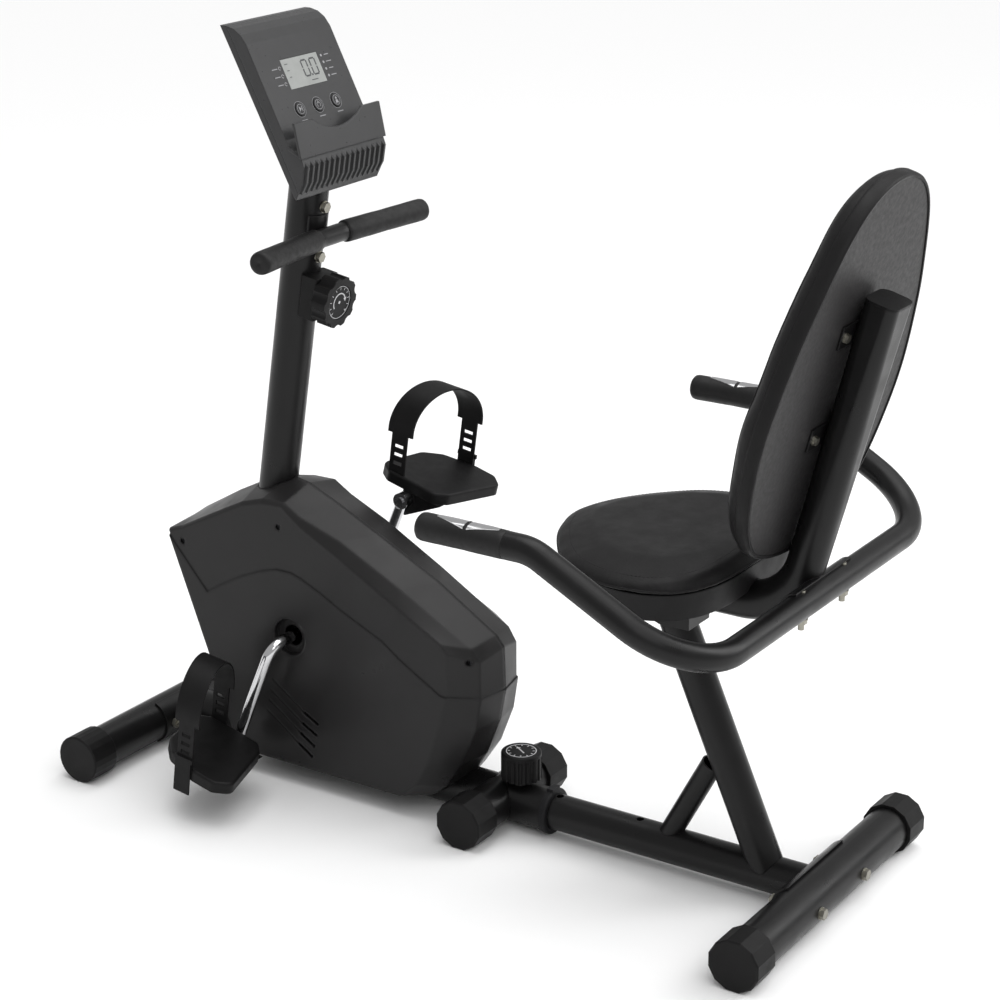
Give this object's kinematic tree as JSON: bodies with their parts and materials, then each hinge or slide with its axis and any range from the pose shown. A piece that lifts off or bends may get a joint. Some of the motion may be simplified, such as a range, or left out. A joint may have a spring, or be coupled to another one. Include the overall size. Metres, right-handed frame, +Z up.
{
  "type": "recumbent exercise bike",
  "caption": "Recumbent exercise bike with a sliding bucket seat and backrest, side armrests, enclosed flywheel drive, pedals, front handlebar and a display console.",
  "frame": {"origin": "centre of the bounding box at floor level", "axes": "+Y forward, the way the rider faces and the longest way; +X to the rider's right, the shortest way; +Z up"},
  "size_m": [0.701, 1.1756, 1.0775],
  "materials": {
    "frame_paint": "satin black powder coat",
    "cap_plastic": "moulded black plastic",
    "casing_plastic": "satin moulded black plastic",
    "console_plastic": "dark grey satin plastic",
    "display": "grey-green liquid crystal display",
    "button_plastic": "dark key with a light ring",
    "chrome": "polished chrome plate",
    "steel": "bare machined steel",
    "zinc": "zinc plated fasteners",
    "black_screw": "black oxide screw",
    "foam": "closed-cell foam sleeve",
    "vinyl": "black synthetic leather",
    "board": "pressed board with black backing",
    "iron": "machined iron",
    "belt_rubber": "ribbed belt",
    "magnet": "nickel plated magnets",
    "pedal_plastic": "moulded black plastic",
    "strap_rubber": "soft moulded strap",
    "circuit": "green circuit board",
    "bushing": "nylon bushing"
  },
  "bodies": {
    "frame": {"main_beam": "frame_paint", "front_foot_tube": "frame_paint", "front_foot_caps": "cap_plastic", "mid_foot_stubs": "frame_paint", "mid_foot_caps": "cap_plastic", "sleeve_liner": "bushing", "mast_stub": "frame_paint", "handlebar_post": "frame_paint", "crank_bracket": "frame_paint", "flywheel_bracket": "frame_paint", "flywheel_axle": "steel", "crank_bearings": "steel", "magnet_pivot": "frame_paint", "magnet_spring": "steel", "drive_belt": "belt_rubber", "casing_left": "casing_plastic", "casing_right": "casing_plastic", "casing_screws": "black_screw", "handlebar": "frame_paint", "handlebar_grips": "foam", "tension_housing": "cap_plastic", "tension_cable": "belt_rubber", "console_front": "console_plastic", "console_back": "console_plastic", "console_lens": "display", "console_board": "circuit", "frame_bolts": "zinc"},
    "seat_carriage": {"slide_tube": "frame_paint", "rear_foot_tube": "frame_paint", "rear_foot_caps": "cap_plastic", "seat_post": "frame_paint", "seat_brackets": "frame_paint", "back_tube": "frame_paint", "back_tube_caps": "cap_plastic", "backrest_board": "board", "backrest_pad": "vinyl", "seat_board": "board", "seat_pad": "vinyl", "back_brackets": "frame_paint", "armrest_tube": "frame_paint", "armrest_grips": "foam", "pulse_plates": "chrome", "carriage_bolts": "zinc"},
    "seat_lock": {"adjust_knob": "cap_plastic", "adjust_pin": "steel"},
    "crankset": {"crank": "chrome", "crank_cones": "steel", "drive_pulley": "cap_plastic", "pedal_spindles": "steel"},
    "left_pedal": {"pedal_left": "pedal_plastic", "pedal_left_strap": "strap_rubber"},
    "right_pedal": {"pedal_right": "pedal_plastic", "pedal_right_strap": "strap_rubber"},
    "flywheel": {"flywheel": "iron"},
    "magnet_brake": {"magnet_arm": "steel", "magnets": "magnet"},
    "tension_dial": {"tension_knob": "cap_plastic"},
    "left_key": {"button_left": "button_plastic"},
    "middle_key": {"button_middle": "button_plastic"},
    "right_key": {"button_right": "button_plastic"}
  },
  "joints": [
    {"name": "seat_slide", "type": "slide", "parent": "frame", "child": "seat_carriage", "axis": [0, 1, 0], "range_m": [-0.1264, 0.0632]},
    {"name": "crank_spin", "type": "hinge", "parent": "frame", "child": "crankset", "pos_m": [0, 0.29016, 0.225], "axis": [1, 0, 0], "continuous": true},
    {"name": "flywheel_spin", "type": "hinge", "parent": "frame", "child": "flywheel", "pos_m": [0, 0.14316, 0.192], "axis": [1, 0, 0], "continuous": true},
    {"name": "left_pedal_spin", "type": "hinge", "parent": "crankset", "child": "left_pedal", "pos_m": [-0.154, 0.35713, 0.06332], "axis": [1, 0, 0], "continuous": true},
    {"name": "right_pedal_spin", "type": "hinge", "parent": "crankset", "child": "right_pedal", "pos_m": [0.154, 0.22319, 0.38668], "axis": [1, 0, 0], "continuous": true},
    {"name": "seat_lock_slide", "type": "slide", "parent": "frame", "child": "seat_lock", "axis": [0, 0, 1], "range_m": [-0.005, 0]},
    {"name": "tension_turn", "type": "hinge", "parent": "frame", "child": "tension_dial", "pos_m": [0, 0.30834, 0.713], "axis": [0, -0.987, -0.1607], "range_deg": [0, 270]},
    {"name": "magnet_swing", "type": "hinge", "parent": "frame", "child": "magnet_brake", "pos_m": [0, 0.07716, 0.29], "axis": [1, 0, 0], "range_deg": [0, 8]},
    {"name": "left_key_press", "type": "slide", "parent": "frame", "child": "left_key", "axis": [0, 0.8914, -0.4532], "range_m": [0, 0.0012], "stiffness_N_per_m": 900},
    {"name": "middle_key_press", "type": "slide", "parent": "frame", "child": "middle_key", "axis": [0, 0.8914, -0.4532], "range_m": [0, 0.0012], "stiffness_N_per_m": 900},
    {"name": "right_key_press", "type": "slide", "parent": "frame", "child": "right_key", "axis": [0, 0.8914, -0.4532], "range_m": [0, 0.0012], "stiffness_N_per_m": 900}
  ],
  "couplings": [
    {"joint": "flywheel_spin", "follows": "crank_spin", "ratio": 6},
    {"joint": "magnet_swing", "follows": "tension_turn", "ratio": 0.02963}
  ]
}
